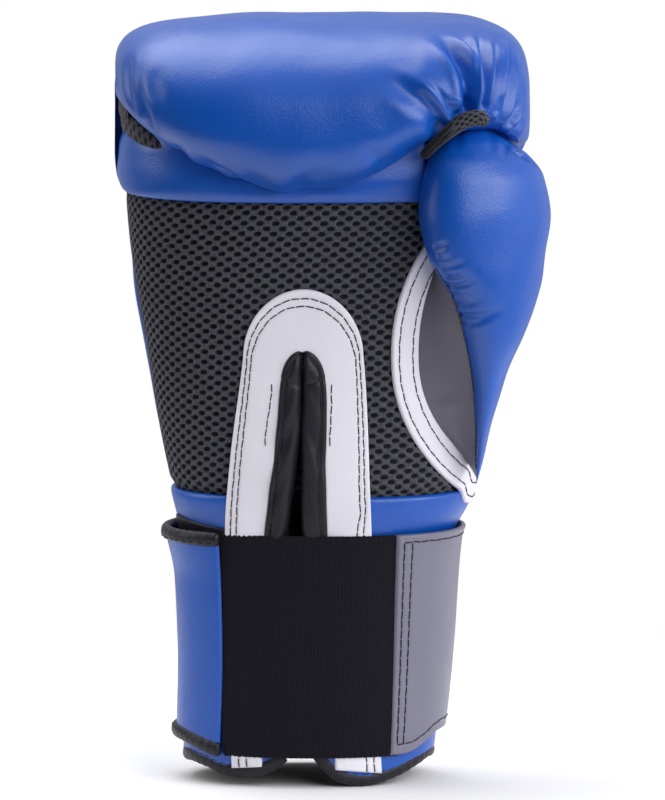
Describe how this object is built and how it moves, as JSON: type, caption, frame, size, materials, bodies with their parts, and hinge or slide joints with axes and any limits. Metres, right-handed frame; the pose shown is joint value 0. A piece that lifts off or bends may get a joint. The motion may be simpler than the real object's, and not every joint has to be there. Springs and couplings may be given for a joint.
{
  "type": "boxing glove",
  "caption": "Padded closed-fist training glove for the right hand with attached thumb, mesh palm, slit cuff and a wide elastic wrist strap with a hook-and-loop tab.",
  "frame": {"origin": "bottom centre of the glove's bounding box, on the plane of the wrist opening that the glove stands on", "axes": "+Z from the wrist opening to the fingertips, the palm faces -Y, the thumb is on +X"},
  "size_m": [0.1619, 0.1236, 0.2906],
  "materials": {
    "blue_leather": "satin",
    "grey_leather": "satin",
    "white_leather": "satin",
    "black_binding": "matte",
    "mesh_fabric": "matte",
    "elastic": "matte",
    "lining": "matte",
    "foam": "matte",
    "hook_and_loop": "matte"
  },
  "bodies": {
    "hand": {"palm_mesh_panel": "mesh_fabric", "palm_band": "blue_leather", "thumb_web_panel": "grey_leather", "thumb_arc_trim": "white_leather", "wrist_trim": "white_leather", "slit_binding_left": "black_binding", "slit_binding_right": "black_binding", "slit_gusset": "elastic", "back_shell": "blue_leather", "cuff_shell": "blue_leather", "cuff_binding": "black_binding", "cuff_foam": "foam", "back_foam": "foam", "palm_foam": "foam", "cuff_lining": "lining", "hand_lining": "lining", "grip_bar": "lining", "strap_base": "blue_leather", "strap_piping_top": "black_binding", "strap_piping_bottom": "black_binding", "loop_patch": "hook_and_loop"},
    "fist": {"fist_shell": "blue_leather", "side_mesh_gusset": "mesh_fabric", "knuckle_pad": "foam", "fist_foam": "foam", "finger_lining": "lining"},
    "thumb": {"thumb_shell": "blue_leather", "thumb_foam": "foam", "thumb_lining": "lining", "thumb_lock_strap": "mesh_fabric"},
    "strap": {"elastic_band": "elastic"},
    "tab": {"strap_tab": "grey_leather", "hook_patch": "hook_and_loop"}
  },
  "joints": [
    {"name": "finger_curl", "type": "hinge", "parent": "hand", "child": "fist", "pos_m": [-0.004, -0.041, 0.226], "axis": [1, 0, 0], "range_deg": [0, 10], "stiffness_Nm_per_rad": 3},
    {"name": "thumb_flex", "type": "hinge", "parent": "hand", "child": "thumb", "pos_m": [0.053, -0.026, 0.115], "axis": [0, 1, 0], "range_deg": [0, 5], "stiffness_Nm_per_rad": 1},
    {"name": "strap_swing", "type": "hinge", "parent": "hand", "child": "strap", "pos_m": [-0.043, -0.03, 0.054], "axis": [0, 0, -1], "range_deg": [0, 45]},
    {"name": "tab_peel", "type": "hinge", "parent": "strap", "child": "tab", "pos_m": [0.026, -0.0346, 0.054], "axis": [0, 0, -1], "range_deg": [0, 117]}
  ],
  "couplings": [
    {"joint": "tab_peel", "follows": "strap_swing", "ratio": 2.6}
  ]
}
